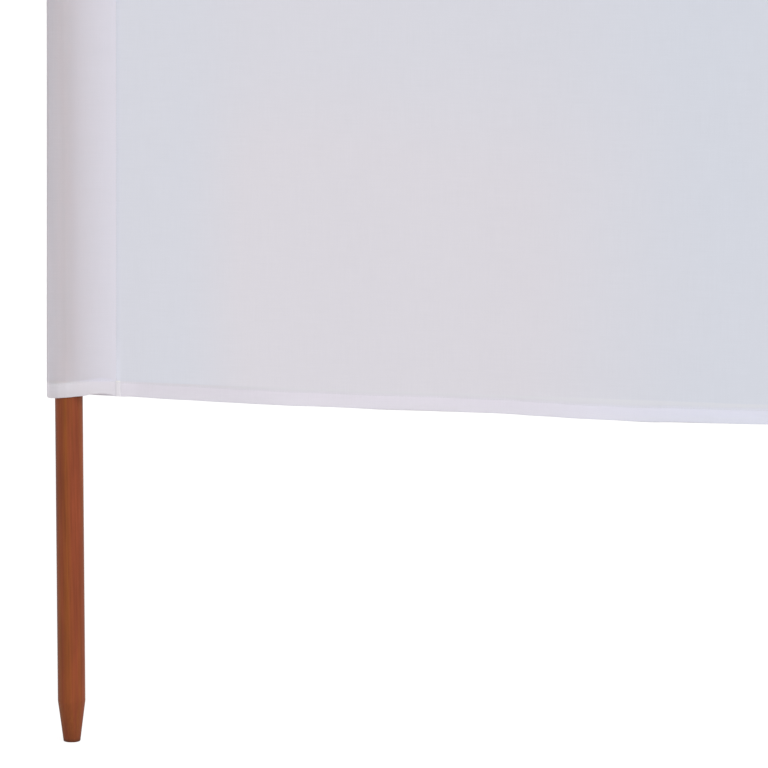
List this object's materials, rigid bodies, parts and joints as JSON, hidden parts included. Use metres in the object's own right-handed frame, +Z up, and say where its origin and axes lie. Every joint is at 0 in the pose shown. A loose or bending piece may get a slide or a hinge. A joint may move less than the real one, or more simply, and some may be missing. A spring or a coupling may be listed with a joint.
{
  "type": "beach windbreak",
  "caption": "Long white cloth windbreak with sewn sleeves over round stained wooden poles that have blunt tapered feet.",
  "frame": {"origin": "centre of the flat end of the left end pole's foot, seen from the front", "axes": "+X runs along the screen from the left end pole to the right one, -Y is the front, which shows the hem's plain face, and +Z is up"},
  "size_m": [6.0014, 0.0396, 1.6],
  "materials": {
    "pole_wood": "red-brown stained softwood, satin varnish",
    "cloth": "plain tightly woven white cloth, matt",
    "hem": "the same white cloth turned double, matt"
  },
  "bodies": {
    "root": {"pole_1": "pole_wood", "pole_2": "pole_wood", "pole_3": "pole_wood", "pole_4": "pole_wood", "pole_5": "pole_wood", "pole_6": "pole_wood", "sleeve_1": "cloth", "sleeve_2": "cloth", "sleeve_3": "cloth", "sleeve_4": "cloth", "sleeve_5": "cloth", "sleeve_6": "cloth", "panel_1": "cloth", "panel_2": "cloth", "panel_3": "cloth", "panel_4": "cloth", "panel_5": "cloth", "bottom_hem_1": "hem", "top_hem_1": "hem", "bottom_hem_2": "hem", "top_hem_2": "hem", "bottom_hem_3": "hem", "top_hem_3": "hem", "bottom_hem_4": "hem", "top_hem_4": "hem", "bottom_hem_5": "hem", "top_hem_5": "hem"}
  },
  "joints": []
}
